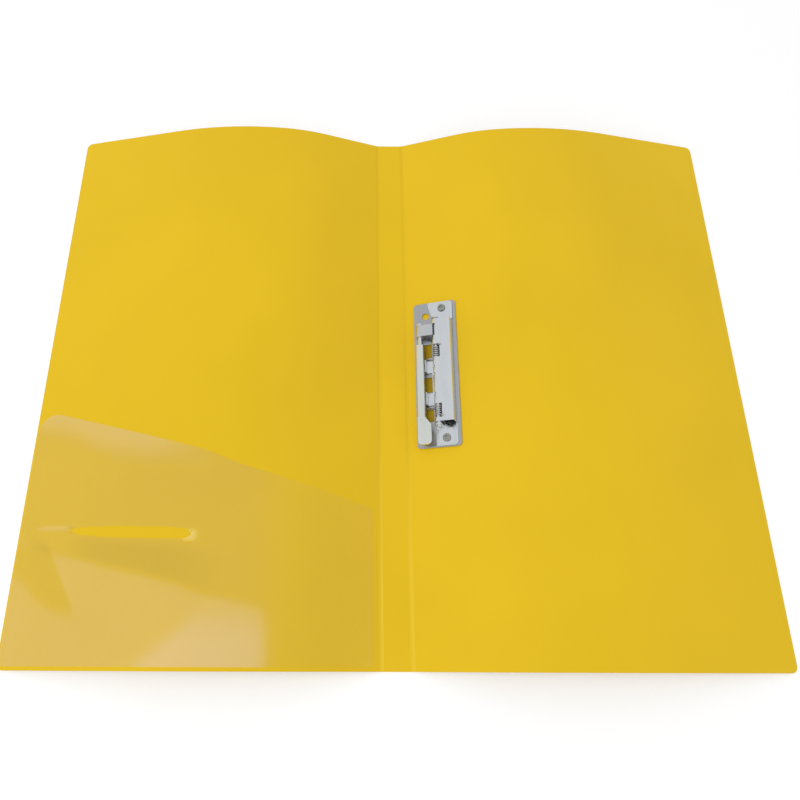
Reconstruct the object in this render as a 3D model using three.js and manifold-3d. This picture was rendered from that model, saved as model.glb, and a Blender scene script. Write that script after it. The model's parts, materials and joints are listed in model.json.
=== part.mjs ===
// Clip file folder lying open: a creased plastic sheet with front cover, spine and back cover, a clear
// pocket on the front cover, and a lever clip riveted to the back cover beside the spine.
// Millimetres, +Z up. The origin is on the table under the middle of the spine. The spine runs along Y,
// the front cover lies on the -X side and the back cover on the +X side, inner faces up.
import * as THREE from 'three';
import { mergeVertices } from 'three/addons/utils/BufferGeometryUtils.js';
import Module from 'manifold-3d';

const wasm = await Module();
wasm.setup();

// Clearances, and how far a cutter passes beyond what it cuts
const SEAT = 0.3;
const RUN = 0.3;
const OVERCUT = 1;
const CUT_HEIGHT = 5;
const CUT_BELOW_BOW = -100;
const CUT_ABOVE_BOW = 60;

// Folder sheet
const SHEET = 0.8;
const LENGTH = 370;
const SPINE_WIDTH = 18;
const CREASE_GAP = 0.3;
const COVER_WIDTH = 224;
const CORNER_RADIUS = 4;

// Each cover leaves its crease as a flat strip, bows over two arcs and runs straight to its free edge.
const STRIP = 40;
const BOW_1_LENGTH = 30;
const BOW_1_TURN = THREE.MathUtils.degToRad(12);
const BOW_2_LENGTH = 80;
const BOW_2_TURN = THREE.MathUtils.degToRad(18.5);
const BOW_STEP = THREE.MathUtils.degToRad(2);

// Pocket, measured along the front cover from the crease and up from the bottom edge
const FILM = 0.3;
const POCKET_CREASE_MARGIN = 5;
const POCKET_OUTER_MARGIN = 5;
const POCKET_BOTTOM_MARGIN = 5;
const POCKET_HEIGHT_AT_SPINE = 93;
const POCKET_HEIGHT_AT_EDGE = 153;
const POCKET_CORNER = 3;
const SLIT_LENGTH = 78;
const SLIT_WIDTH = 7;
const SLIT_FROM_OUTER_EDGE = 35;
const SLIT_HEIGHT = 79;

// Clip, placed on the back cover's flat strip
const CLIP_LENGTH = 102;
const CLIP_WIDTH = 28.4;
const CLIP_FROM_CREASE = 6.4;
const CLIP_SHIFT = -3.5;
const STEEL = 0.8;
const PLATE_CORNER = 2.5;
const EAR_HOLE_RADIUS = 2.4;
const EAR_HOLE_FROM_LEFT = 8;
const EAR_HOLE_FROM_END = 9.8;

// Lever, hinged on a pin along the clip's edge nearest the spine
const LEVER_PIN_RADIUS = 1.3;
const LEVER_PIN_FROM_LEFT = 4.6;
const LEVER_PIN_HEAD_RADIUS = 2;
const LEVER_PIN_HEAD = 1.4;
const LEVER_SWING = THREE.MathUtils.degToRad(85);
const CHANNEL_TOP = 18;
const CHANNEL_BOTTOM = -36;
const CHANNEL_DEPTH = 1.5;
const CHANNEL_BEND = 0.9;
const CHANNEL_FOOT_ROUND = 0.2;
const TAB_WIDTH = 8.6;
const TAB_OVERHANG = 2.3;
const TAB_TOP = -37.8;
const TAB_FLARE = 5.5;
const TAB_BOTTOM = -50.4;
const TAB_ROUND = 2.4;
const TAB_LIP = 0.9;
const NECK = 3;
const DIMPLE_RADIUS = 0.7;
const EAR_FROM_CHANNEL = 0.5;
const PIN_END = 1;

// Strap of the base plate that holds the upper end of the lever pin
const STRAP_TOP = 32.1;
const STRAP_BOTTOM = 24.1;

// Jaw, hinged on a second pin beside the lever
const JAW_PIN_RADIUS = 1.2;
const JAW_PIN_FROM_LEFT = 15.2;
const JAW_SWING = THREE.MathUtils.degToRad(35);
const JAW_TOP = 35.7;
const JAW_BOTTOM = -35.8;
const JAW_LIP_FROM_RIGHT = 2.5;
const JAW_SLOPE = 0.6;
const JAW_BEND = 0.7;
const JAW_STEP = 0.4;
const JAW_STEP_GAP = 0.4;
const JAW_WALL = 0.6;
const JAW_WALL_FOOT = 3.6;
const JAW_GAP_EDGE = 0.4;
const JAW_KNUCKLE_SURPLUS = 0.1;
const SCALLOPS = [2.2, -3.3, -16.9];
const SCALLOP_WIDTH = 1.4;
const FINGER_ARM = 3;
const FINGER_ROOT = 0.2;
const FINGER_TIP = 0.55;

// Push plate: two arms carry the lever's cams to the jaw's fingers
const PUSH_THICKNESS = 0.9;
const ARM_CENTRES = [3.3, -19.1];
const ARM_WIDTH = 8.4;
const RAIL_WIDTH = 2;
const KNUCKLE_EXTRA = 0.6;
const CAM_WALL = 0.6;
const WINDOW_FROM_PIN = 1;
const WINDOW_WIDTH = 6;
const WINDOW_SPANS = [[10, 20.1], [-14, -3.5], [-34, -25.6]];

// Torsion springs on the jaw pin: the foot's places count outwards from the pin, the leg's from the coil
const WIRE = 0.9;
const PITCH = 1.4;
const TURNS = 5;
const COIL_CLEARANCE = 0.05;
const SPRING_MARGIN = 0.5;
const FOOT_END = 8;
const FOOT_BEND = 6.4;
const FOOT_RISE = 4.9;
const FOOT_ROOT = 2.4;
const LEG_OFFSET = 0.1;
const LEG_BEND = 1.1;
const LEG_BEND_MIDDLE = 0.35;
const LEG_REACH = 1.9;

// Brackets and rivets at both ends of the clip
const BRACKET_MARGIN = 0.6;
const BRACKET_INNER_GAP = 1;
const BRACKET_CHAMFER = 0.3;
const BRACKET_FLARE = 2.9;
const FLARE_CHAMFER = 0.5;
const FLARE_POWER = 1.4;
const PAD_HEIGHT = 0.4;
const PAD_BORDER = 0.7;
const PAD_FROM_RIGHT = 4.1;
const RIM = 2.05;
const EAR = 1;
const RIVET_FROM_LEFT = 19.3;
const RIVET_FROM_END = 5.5;
const RIVET_BORE = 1.3;
const RIVET_BORE_DEPTH = 0.9;
const RIVET_WALL = 0.6;
const RIVET_FLANGE = 2.6;
const RIVET_FLANGE_THICKNESS = 0.5;

// Sizes that follow
const LEVER_BORE = LEVER_PIN_RADIUS + RUN;
const LEVER_HALF = LEVER_BORE + STEEL;
const JAW_BORE = JAW_PIN_RADIUS + RUN;
const JAW_KNUCKLE_RADIUS = JAW_BORE + STEEL + JAW_KNUCKLE_SURPLUS;
const PUSH_STROKE = 2 * FINGER_ARM * Math.sin(JAW_SWING / 2);
const CAM_OFFSET = PUSH_STROKE / (2 * Math.sin(LEVER_SWING / 2));
const CAM_RADIUS = LEVER_BORE + CAM_WALL + CAM_OFFSET;
const PIN_HEIGHT = SEAT + CAM_RADIUS + CAM_OFFSET;
const PLATE_TOP = SEAT + STEEL;
const CLIP_END = CLIP_LENGTH / 2;
const CAM_REST_ANGLE = -Math.PI / 2 - LEVER_SWING / 2;
const FINGER_REST_ANGLE = -Math.PI / 2 - JAW_SWING / 2;

const YELLOW = { color: 0xe6bd24, roughness: 0.42, metalness: 0 };
const FILM_LOOK = { color: 0xe9dfae, roughness: 0.2, metalness: 0, transparent: true, opacity: 0.45 };
const PLATED = { color: 0xc9ccd0, roughness: 0.22, metalness: 1 };
const SPRING_STEEL = { color: 0xa9adb2, roughness: 0.3, metalness: 1 };

// Solids from three.js geometry, for cutting and joining
function solid(geometry) {
  const bare = geometry.clone();
  bare.deleteAttribute('normal');
  bare.deleteAttribute('uv');
  const merged = mergeVertices(bare, 1e-4);
  return new wasm.Manifold(new wasm.Mesh({
    numProp: 3,
    vertProperties: new Float32Array(merged.attributes.position.array),
    triVerts: new Uint32Array(merged.index.array),
  }));
}

function geometryOf(body) {
  const mesh = body.getMesh();
  const geometry = new THREE.BufferGeometry();
  geometry.setAttribute('position', new THREE.BufferAttribute(mesh.vertProperties, 3));
  geometry.setIndex(new THREE.BufferAttribute(mesh.triVerts, 1));
  return geometry;
}

function join(...bodies) {
  return bodies.reduce((all, body) => all.add(body));
}

function cut(body, ...tools) {
  return tools.reduce((rest, tool) => rest.subtract(tool), body);
}

// A profile drawn across the folder (x, z), run along Y from y0 to y1
function along(shape, y0, y1, curveSegments = 12) {
  const geometry = new THREE.ExtrudeGeometry(shape, { depth: y1 - y0, bevelEnabled: false, curveSegments });
  geometry.rotateX(Math.PI / 2);
  geometry.translate(0, y1, 0);
  return solid(geometry);
}

// A plan outline (x, y), raised from z0 to z1
function raised(shape, z0, z1, curveSegments = 8) {
  const geometry = new THREE.ExtrudeGeometry(shape, { depth: z1 - z0, bevelEnabled: false, curveSegments });
  geometry.translate(0, 0, z0);
  return solid(geometry);
}

function block(x0, x1, y0, y1, z0, z1) {
  const geometry = new THREE.BoxGeometry(x1 - x0, y1 - y0, z1 - z0);
  geometry.translate((x0 + x1) / 2, (y0 + y1) / 2, (z0 + z1) / 2);
  return solid(geometry);
}

function disc(x, y, radius) {
  const shape = new THREE.Shape();
  shape.absarc(x, y, radius, 0, 2 * Math.PI);
  return shape;
}

// Rectangle with its own radius at each corner, in the order bottom left, bottom right, top right, top left
function roundedRectangle(x0, x1, y0, y1, radii) {
  const [a, b, c, d] = radii;
  const shape = new THREE.Shape();
  shape.moveTo(x0 + a, y0);
  shape.lineTo(x1 - b, y0);
  shape.absarc(x1 - b, y0 + b, b, -Math.PI / 2, 0);
  shape.lineTo(x1, y1 - c);
  shape.absarc(x1 - c, y1 - c, c, 0, Math.PI / 2);
  shape.lineTo(x0 + d, y1);
  shape.absarc(x0 + d, y1 - d, d, Math.PI / 2, Math.PI);
  shape.lineTo(x0, y0 + a);
  shape.absarc(x0 + a, y0 + a, a, Math.PI, 1.5 * Math.PI);
  return shape;
}

function polygon(points) {
  return new THREE.Shape(points.map(([x, y]) => new THREE.Vector2(x, y)));
}

// The bow of a cover's inner face, in the frame of its flat strip: points with their slope and distance
function bowLine() {
  const line = [{ x: 0, z: 0, slope: 0, s: 0 }];
  let { x, z, slope, s } = line[0];
  const run = (length, turn) => {
    const steps = Math.max(1, Math.round(Math.abs(turn) / BOW_STEP));
    for (let i = 0; i < steps; i += 1) {
      const middle = slope - turn / steps / 2;
      x += (length / steps) * Math.cos(middle);
      z += (length / steps) * Math.sin(middle);
      slope -= turn / steps;
      s += length / steps;
      line.push({ x, z, slope, s });
    }
  };
  run(STRIP, 0);
  run(BOW_1_LENGTH, BOW_1_TURN);
  run(BOW_2_LENGTH, BOW_2_TURN);
  run(COVER_WIDTH - STRIP - BOW_1_LENGTH - BOW_2_LENGTH, 0);
  return line;
}

const BOW = bowLine();
const BOW_END = BOW[BOW.length - 1];

// The strip's rest angle: the free edge's underside lies on the table, as the spine's does
function stripAngle() {
  const x = BOW_END.x + SHEET * Math.sin(BOW_END.slope);
  const z = BOW_END.z - SHEET * Math.cos(BOW_END.slope);
  return -Math.atan2(z, x) - Math.asin(SHEET / Math.hypot(x, z));
}

const STRIP_ANGLE = stripAngle();

function bowAt(s) {
  const i = Math.max(1, BOW.findIndex((point) => point.s >= s - 1e-9));
  const a = BOW[i - 1];
  const b = BOW[i];
  const t = (s - a.s) / (b.s - a.s);
  return { x: a.x + t * (b.x - a.x), z: a.z + t * (b.z - a.z), slope: i === 1 ? a.slope : b.slope, s };
}

// A layer that follows the bow from s0 to s1, between two heights over the inner face
function bowedLayer(s0, s1, low, high) {
  const inside = BOW.filter((point) => point.s > s0 + 1e-6 && point.s < s1 - 1e-6);
  const line = [bowAt(s0), ...inside, bowAt(s1)];
  const offset = (point, h) => [point.x - h * Math.sin(point.slope), point.z + h * Math.cos(point.slope)];
  const under = line.map((point) => offset(point, low));
  const over = line.map((point) => offset(point, high));
  return polygon([...under, ...over.reverse()]);
}

// What is cut off each outer corner of a cover to round it
function cornerCutter(ySide) {
  const r = CORNER_RADIUS;
  const shape = new THREE.Shape();
  shape.moveTo(0, 0);
  shape.lineTo(OVERCUT, 0);
  shape.lineTo(OVERCUT, r + OVERCUT);
  shape.lineTo(-r, r + OVERCUT);
  shape.lineTo(-r, r);
  shape.absarc(-r, 0, r, Math.PI / 2, 0, true);
  const depth = 4 * SHEET;
  const geometry = new THREE.ExtrudeGeometry(shape, { depth, bevelEnabled: false, curveSegments: 6 });
  geometry.translate(0, LENGTH / 2 - r, -2.5 * SHEET);
  if (ySide < 0) geometry.rotateX(Math.PI).translate(0, 0, -SHEET);
  geometry.rotateY(-BOW_END.slope);
  geometry.translate(BOW_END.x, 0, BOW_END.z);
  return solid(geometry);
}

function coverSheet() {
  const sheet = along(bowedLayer(CREASE_GAP / 2, COVER_WIDTH, -SHEET, 0), -LENGTH / 2, LENGTH / 2);
  return cut(sheet, cornerCutter(1), cornerCutter(-1));
}

// Rivet places in the clip's plane
const RIVETS = [1, -1].map((end) => ({ x: RIVET_FROM_LEFT, y: end * (CLIP_END - RIVET_FROM_END) }));

function rivetHoles(z0, z1, dx = 0, dy = 0) {
  return RIVETS.map(({ x, y }) => raised(disc(x + dx, y + dy, RIVET_BORE + RIVET_WALL + RUN), z0, z1, 10));
}

function backCover() {
  return cut(coverSheet(), ...rivetHoles(-SHEET - OVERCUT, OVERCUT, CLIP_FROM_CREASE, CLIP_SHIFT));
}

function spinePanel() {
  const half = (SPINE_WIDTH - CREASE_GAP) / 2;
  return block(-half, half, -LENGTH / 2, LENGTH / 2, 0, SHEET);
}

// Clear pocket: welded at the outer edge, the bottom and beside the crease, with a slanted mouth and a slit
function pocketFilm() {
  const s1 = COVER_WIDTH - POCKET_OUTER_MARGIN;
  const s0 = POCKET_CREASE_MARGIN;
  const low = -LENGTH / 2 + POCKET_BOTTOM_MARGIN;
  const film = along(bowedLayer(s0, s1, SEAT, SEAT + FILM), low, -LENGTH / 2 + POCKET_HEIGHT_AT_EDGE);
  const x0 = bowAt(s0).x;
  const x1 = bowAt(s1).x;
  const past = 10 * OVERCUT;
  const rise = (past * (POCKET_HEIGHT_AT_EDGE - POCKET_HEIGHT_AT_SPINE)) / (x1 - x0);
  const above = polygon([
    [x0 - past, -LENGTH / 2 + POCKET_HEIGHT_AT_SPINE - rise],
    [x1 + past, -LENGTH / 2 + POCKET_HEIGHT_AT_EDGE + rise],
    [x1 + past, LENGTH / 2],
    [x0 - past, LENGTH / 2],
  ]);
  const radii = [POCKET_CORNER, POCKET_CORNER, OVERCUT, OVERCUT];
  const frame = roundedRectangle(x0 - OVERCUT, x1 + 3 * OVERCUT, low, LENGTH / 2, radii);
  const throughBow = (shape, segments) => raised(shape, CUT_BELOW_BOW, CUT_ABOVE_BOW, segments);
  return cut(film.intersect(throughBow(frame)), throughBow(above), throughBow(slitOutline(), 12));
}

// The slit gapes to the shape of a lens, pointed at both ends
function slitOutline() {
  const left = bowAt(COVER_WIDTH - SLIT_FROM_OUTER_EDGE - SLIT_LENGTH).x;
  const right = bowAt(COVER_WIDTH - SLIT_FROM_OUTER_EDGE).x;
  const y = -LENGTH / 2 + SLIT_HEIGHT;
  const slit = new THREE.Shape();
  slit.moveTo(left, y);
  slit.quadraticCurveTo((left + right) / 2, y - SLIT_WIDTH, right, y);
  slit.quadraticCurveTo((left + right) / 2, y + SLIT_WIDTH, left, y);
  return slit;
}

// Base plate with its windows, cam slots, strap and lower ear for the lever pin
function basePlate() {
  const radii = [PLATE_CORNER, PLATE_CORNER, PLATE_CORNER, PLATE_CORNER];
  const outline = roundedRectangle(0, CLIP_WIDTH, -CLIP_END, CLIP_END, radii);
  const earHoleDisc = disc(EAR_HOLE_FROM_LEFT, CLIP_END - EAR_HOLE_FROM_END, EAR_HOLE_RADIUS);
  const earHole = raised(earHoleDisc, 0, CUT_HEIGHT, 12);
  const windowLeft = LEVER_PIN_FROM_LEFT + WINDOW_FROM_PIN;
  const windows = WINDOW_SPANS.map(([low, high]) => (
    block(windowLeft, windowLeft + WINDOW_WIDTH, low, high, 0, CUT_HEIGHT)));
  const sweep = Math.sqrt(CAM_RADIUS ** 2 - (PIN_HEIGHT - CAM_OFFSET - PLATE_TOP - RUN) ** 2);
  const camRight = LEVER_PIN_FROM_LEFT + sweep + PUSH_STROKE / 2 + RUN;
  const camLeft = LEVER_PIN_FROM_LEFT - LEVER_HALF - RUN;
  const camSlots = ARM_CENTRES.map((y) => (
    block(camLeft, camRight, y - ARM_WIDTH / 2 - RUN, y + ARM_WIDTH / 2 + RUN, 0, CUT_HEIGHT)));
  const plate = raised(outline, SEAT, PLATE_TOP);
  const openPlate = cut(plate, earHole, ...windows, ...camSlots, ...rivetHoles(0, CUT_HEIGHT));
  return join(openPlate, strap(), leverEar());
}

function strap() {
  const x = LEVER_PIN_FROM_LEFT;
  const right = JAW_PIN_FROM_LEFT - JAW_PIN_RADIUS - RUN;
  const top = PIN_HEIGHT + LEVER_HALF;
  const knuckle = along(disc(x, PIN_HEIGHT, LEVER_HALF), STRAP_BOTTOM, STRAP_TOP);
  const foot = block(x - LEVER_HALF, x - LEVER_HALF + STEEL, STRAP_BOTTOM, STRAP_TOP, SEAT, PIN_HEIGHT);
  const leaf = block(x, right, STRAP_BOTTOM, STRAP_TOP, top - STEEL, top);
  const wall = block(right - STEEL, right, STRAP_BOTTOM, STRAP_TOP, SEAT, top);
  const bore = along(disc(x, PIN_HEIGHT, LEVER_BORE), STRAP_BOTTOM - OVERCUT, STRAP_TOP + OVERCUT);
  return cut(join(knuckle, foot, leaf, wall), bore);
}

// Upright ear with a round head and a hole, across the pin at x
function pinEar(x, headRadius, bore, y0, y1, z0) {
  const head = along(disc(x, PIN_HEIGHT, headRadius), y0, y1);
  const post = block(x - headRadius, x + headRadius, y0, y1, z0, PIN_HEIGHT);
  return cut(join(head, post), along(disc(x, PIN_HEIGHT, bore), y0 - OVERCUT, y1 + OVERCUT));
}

const LEVER_EAR_TOP = CHANNEL_BOTTOM - RUN - EAR_FROM_CHANNEL;

function leverEar() {
  return pinEar(LEVER_PIN_FROM_LEFT, LEVER_HALF, LEVER_BORE, LEVER_EAR_TOP - EAR, LEVER_EAR_TOP, SEAT);
}

function leverPin() {
  const low = LEVER_EAR_TOP - EAR - PIN_END;
  const headLow = STRAP_TOP + SEAT;
  const headHigh = headLow + LEVER_PIN_HEAD;
  const shank = along(disc(LEVER_PIN_FROM_LEFT, PIN_HEIGHT, LEVER_PIN_RADIUS), low, headHigh);
  const head = along(disc(LEVER_PIN_FROM_LEFT, PIN_HEIGHT, LEVER_PIN_HEAD_RADIUS), headLow, headHigh);
  return join(shank, head);
}

// Lever: an inverted channel over its pin, solid at each push arm with a cam lobe, and a thumb tab that is
// stepped over the lower ear
function lever() {
  const x = LEVER_PIN_FROM_LEFT;
  const top = PIN_HEIGHT + LEVER_HALF;
  const bottom = PIN_HEIGHT - CHANNEL_DEPTH;
  const radii = [CHANNEL_FOOT_ROUND, CHANNEL_FOOT_ROUND, CHANNEL_BEND, CHANNEL_BEND];
  const section = roundedRectangle(x - LEVER_HALF, x + LEVER_HALF, bottom, top, radii);
  const y0 = CHANNEL_BOTTOM - OVERCUT;
  const y1 = CHANNEL_TOP + OVERCUT;
  const hollow = block(x - LEVER_BORE, x + LEVER_BORE, y0, y1, bottom - OVERCUT, PIN_HEIGHT + LEVER_BORE);
  const channel = cut(along(section, CHANNEL_BOTTOM, CHANNEL_TOP, 4), hollow);
  const camX = x + CAM_OFFSET * Math.cos(CAM_REST_ANGLE);
  const camZ = PIN_HEIGHT + CAM_OFFSET * Math.sin(CAM_REST_ANGLE);
  const camRight = camX + CAM_RADIUS + OVERCUT;
  const camLow = camZ - CAM_RADIUS - OVERCUT;
  const cams = ARM_CENTRES.map((y) => {
    const low = y - ARM_WIDTH / 2;
    const high = y + ARM_WIDTH / 2;
    const lobe = along(disc(camX, camZ, CAM_RADIUS), low, high, 14);
    const underPin = block(x - LEVER_HALF, camRight, low, high, camLow, PIN_HEIGHT);
    return join(along(section, low, high, 4), lobe.intersect(underPin));
  });
  const bore = along(disc(x, PIN_HEIGHT, LEVER_BORE), y0, y1);
  return cut(join(channel, ...cams, thumbTab()), bore);
}

function thumbTab() {
  const x = LEVER_PIN_FROM_LEFT;
  const low = PIN_HEIGHT + LEVER_HALF + RUN;
  const left = x - TAB_OVERHANG;
  const right = left + TAB_WIDTH;
  const outline = new THREE.Shape();
  outline.moveTo(left, TAB_TOP + TAB_FLARE);
  outline.lineTo(x + LEVER_HALF, TAB_TOP + TAB_FLARE);
  outline.lineTo(right, TAB_TOP);
  outline.lineTo(right, TAB_BOTTOM + TAB_ROUND);
  outline.absarc(right - TAB_ROUND, TAB_BOTTOM + TAB_ROUND, TAB_ROUND, 0, -Math.PI / 2, true);
  outline.lineTo(left + TAB_ROUND, TAB_BOTTOM);
  outline.absarc(left + TAB_ROUND, TAB_BOTTOM + TAB_ROUND, TAB_ROUND, -Math.PI / 2, -Math.PI, true);
  const high = low + STEEL;
  const plate = raised(outline, low, high);
  const lipEnd = TAB_BOTTOM + STEEL;
  const lip = block(left + TAB_ROUND, right - TAB_ROUND, TAB_BOTTOM, lipEnd, low - TAB_LIP, high);
  const neckLow = PIN_HEIGHT + LEVER_BORE / 2;
  const neck = block(x - LEVER_BORE, x + LEVER_BORE, CHANNEL_BOTTOM, CHANNEL_BOTTOM + NECK, neckLow, high);
  const dimple = raised(disc(x, CHANNEL_BOTTOM + NECK / 2, DIMPLE_RADIUS), low + STEEL / 2, high + OVERCUT);
  return cut(join(plate, lip, neck), dimple);
}

// Spans along the jaw pin: a spring on each side of the knuckle at the push arms, and a gap for the strap
const KNUCKLE_HALF = ARM_WIDTH / 2 + KNUCKLE_EXTRA;
const MAIN_KNUCKLE = [ARM_CENTRES[1] - KNUCKLE_HALF, ARM_CENTRES[0] + KNUCKLE_HALF];
const SPRING_SPAN = TURNS * PITCH + 1.5 * WIRE + 2 * SPRING_MARGIN;
const UPPER_SPRING_SPAN = [MAIN_KNUCKLE[1], MAIN_KNUCKLE[1] + SPRING_SPAN];
const LOWER_SPRING_SPAN = [MAIN_KNUCKLE[0] - SPRING_SPAN, MAIN_KNUCKLE[0]];
const SPRINGS = [
  { start: MAIN_KNUCKLE[1] + SPRING_MARGIN + WIRE / 2, direction: 1 },
  { start: MAIN_KNUCKLE[0] - SPRING_MARGIN - WIRE / 2, direction: -1 },
];
const SPRING_RADIUS = JAW_BORE + WIRE / 2 + COIL_CLEARANCE;
const JAW_GAP = [STRAP_BOTTOM - RUN, STRAP_TOP + RUN];
const KNUCKLES = [
  [JAW_BOTTOM, LOWER_SPRING_SPAN[0]], MAIN_KNUCKLE, [UPPER_SPRING_SPAN[1], JAW_GAP[0]], [JAW_GAP[1], JAW_TOP],
];

// Jaw: a channel open at both ends, its panel stepped up beside the row of knuckles, its right wall the lip
function jawPlate() {
  const x = JAW_PIN_FROM_LEFT;
  const top = PIN_HEIGHT + JAW_KNUCKLE_RADIUS;
  const panelTop = top + JAW_STEP;
  const lip = CLIP_WIDTH - JAW_LIP_FROM_RIGHT;
  const bend = lip - JAW_SLOPE;
  const step = x + SPRING_RADIUS + WIRE / 2 + JAW_STEP_GAP;
  const leaf = along(polygon([
    [x, top - STEEL], [step + JAW_STEP, top - STEEL], [step + JAW_STEP, panelTop - STEEL],
    [bend - STEEL - JAW_BEND / 2, panelTop - STEEL], [bend - STEEL, panelTop - STEEL - JAW_BEND / 2],
    [lip - STEEL, PLATE_TOP + SEAT], [lip, PLATE_TOP + SEAT], [bend, panelTop - JAW_BEND],
    [bend - JAW_BEND * 0.3, panelTop - JAW_BEND * 0.3], [bend - JAW_BEND, panelTop],
    [step, panelTop], [step, top], [x, top],
  ]), JAW_BOTTOM, JAW_TOP);
  const innerWall = block(step, step + JAW_WALL, JAW_BOTTOM, JAW_TOP, JAW_WALL_FOOT, top);
  const left = x - JAW_KNUCKLE_RADIUS - OVERCUT;
  const notch = (y0, y1, edge) => block(left, edge, y0, y1, 0, top + OVERCUT);
  const knuckles = KNUCKLES.map(([y0, y1]) => along(disc(x, PIN_HEIGHT, JAW_KNUCKLE_RADIUS), y0, y1));
  const fingers = ARM_CENTRES.map((y) => finger(y - KNUCKLE_HALF, y + KNUCKLE_HALF));
  const bore = along(disc(x, PIN_HEIGHT, JAW_BORE), JAW_BOTTOM - OVERCUT, JAW_TOP + OVERCUT);
  const half = SCALLOP_WIDTH / 2;
  const scallops = SCALLOPS.map((y) => (
    block(left, x - JAW_BORE / 2, y - half, y + half, PIN_HEIGHT, top + OVERCUT)));
  const open = cut(leaf,
    notch(...JAW_GAP, x + JAW_GAP_EDGE),
    notch(UPPER_SPRING_SPAN[0], UPPER_SPRING_SPAN[1], step),
    notch(LOWER_SPRING_SPAN[0], LOWER_SPRING_SPAN[1], step));
  return cut(join(open, innerWall, ...knuckles, ...fingers), bore, ...scallops);
}

// Finger under a jaw knuckle: the push plate moves its round tip
function finger(y0, y1) {
  const c = Math.cos(FINGER_REST_ANGLE);
  const s = Math.sin(FINGER_REST_ANGLE);
  const at = (r, side) => [
    JAW_PIN_FROM_LEFT + r * c - side * FINGER_TIP * s, PIN_HEIGHT + r * s + side * FINGER_TIP * c];
  const root = JAW_BORE + FINGER_ROOT;
  const shank = polygon([at(root, -1), at(FINGER_ARM, -1), at(FINGER_ARM, 1), at(root, 1)]);
  const tip = disc(JAW_PIN_FROM_LEFT + FINGER_ARM * c, PIN_HEIGHT + FINGER_ARM * s, FINGER_TIP);
  return join(along(shank, y0, y1), along(tip, y0, y1, 8));
}

const BRACKET_TOP_EDGE = JAW_TOP + BRACKET_INNER_GAP;
const BRACKET_LOW_EDGE = JAW_BOTTOM - BRACKET_INNER_GAP;

function jawPin() {
  const low = BRACKET_LOW_EDGE - EAR - PIN_END;
  const high = BRACKET_TOP_EDGE + EAR + PIN_END;
  return along(disc(JAW_PIN_FROM_LEFT, PIN_HEIGHT, JAW_PIN_RADIUS), low, high);
}

// Plan of an end bracket from its edge beside the jaw to its outer end, with a flared left side at the top
function bracketPlan(end, border, right) {
  const inner = end > 0 ? BRACKET_TOP_EDGE : BRACKET_LOW_EDGE;
  const left = JAW_PIN_FROM_LEFT - JAW_KNUCKLE_RADIUS;
  const flare = end > 0 ? BRACKET_FLARE : 0;
  const outer = end * (CLIP_END - BRACKET_MARGIN - border);
  const r = PLATE_CORNER - border;
  const near = inner + end * border;
  const points = [
    [left + border, near], [right - BRACKET_CHAMFER, near], [right, near + end * BRACKET_CHAMFER],
  ];
  for (let i = 0; i <= 4; i += 1) {
    const angle = (Math.PI / 8) * i;
    points.push([right - r + r * Math.cos(angle), outer - end * (r - r * Math.sin(angle))]);
  }
  const wide = left + border - flare;
  points.push([wide + FLARE_CHAMFER, outer], [wide, outer - end * FLARE_CHAMFER]);
  for (let i = 1; i <= 3; i += 1) {
    const share = i / 4;
    const spread = flare * Math.cos(share * Math.PI / 2) ** FLARE_POWER;
    points.push([left + border - spread, outer + (inner + end * EAR - outer) * share]);
  }
  return polygon(end > 0 ? points : points.reverse());
}

// End bracket on the base plate: a raised pad with a hole for the rivet, and an ear for the jaw pin
function bracket(end) {
  const inner = end > 0 ? BRACKET_TOP_EDGE : BRACKET_LOW_EDGE;
  const z0 = PLATE_TOP + SEAT;
  const plate = raised(bracketPlan(end, 0, CLIP_WIDTH - RIM), z0, z0 + STEEL);
  const padPlan = bracketPlan(end, PAD_BORDER, CLIP_WIDTH - PAD_FROM_RIGHT);
  const pad = raised(padPlan, z0 + STEEL / 2, z0 + STEEL + PAD_HEIGHT);
  const earLow = end > 0 ? inner : inner - EAR;
  const ear = pinEar(JAW_PIN_FROM_LEFT, JAW_KNUCKLE_RADIUS, JAW_BORE, earLow, earLow + EAR, z0);
  return join(cut(join(plate, pad), ...rivetHoles(0, CUT_HEIGHT)), ear);
}

// Push plate: a rail under the jaw's fingers with two arms whose upright lips follow the cams
function pushPlate() {
  const low = PLATE_TOP + RUN;
  const high = low + PUSH_THICKNESS;
  const left = LEVER_PIN_FROM_LEFT + CAM_RADIUS + CAM_OFFSET * Math.cos(CAM_REST_ANGLE) + RUN;
  const right = JAW_PIN_FROM_LEFT + FINGER_ARM * Math.cos(FINGER_REST_ANGLE) - FINGER_TIP - RUN;
  const [upper, lower] = ARM_CENTRES;
  const rail = block(right - RAIL_WIDTH, right, lower - ARM_WIDTH / 2, upper + ARM_WIDTH / 2, low, high);
  const arms = ARM_CENTRES.map((y) => join(
    block(left, right, y - ARM_WIDTH / 2, y + ARM_WIDTH / 2, low, high),
    block(left, left + STEEL, y - ARM_WIDTH / 2, y + ARM_WIDTH / 2, low, PIN_HEIGHT)));
  return join(rail, ...arms);
}

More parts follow.
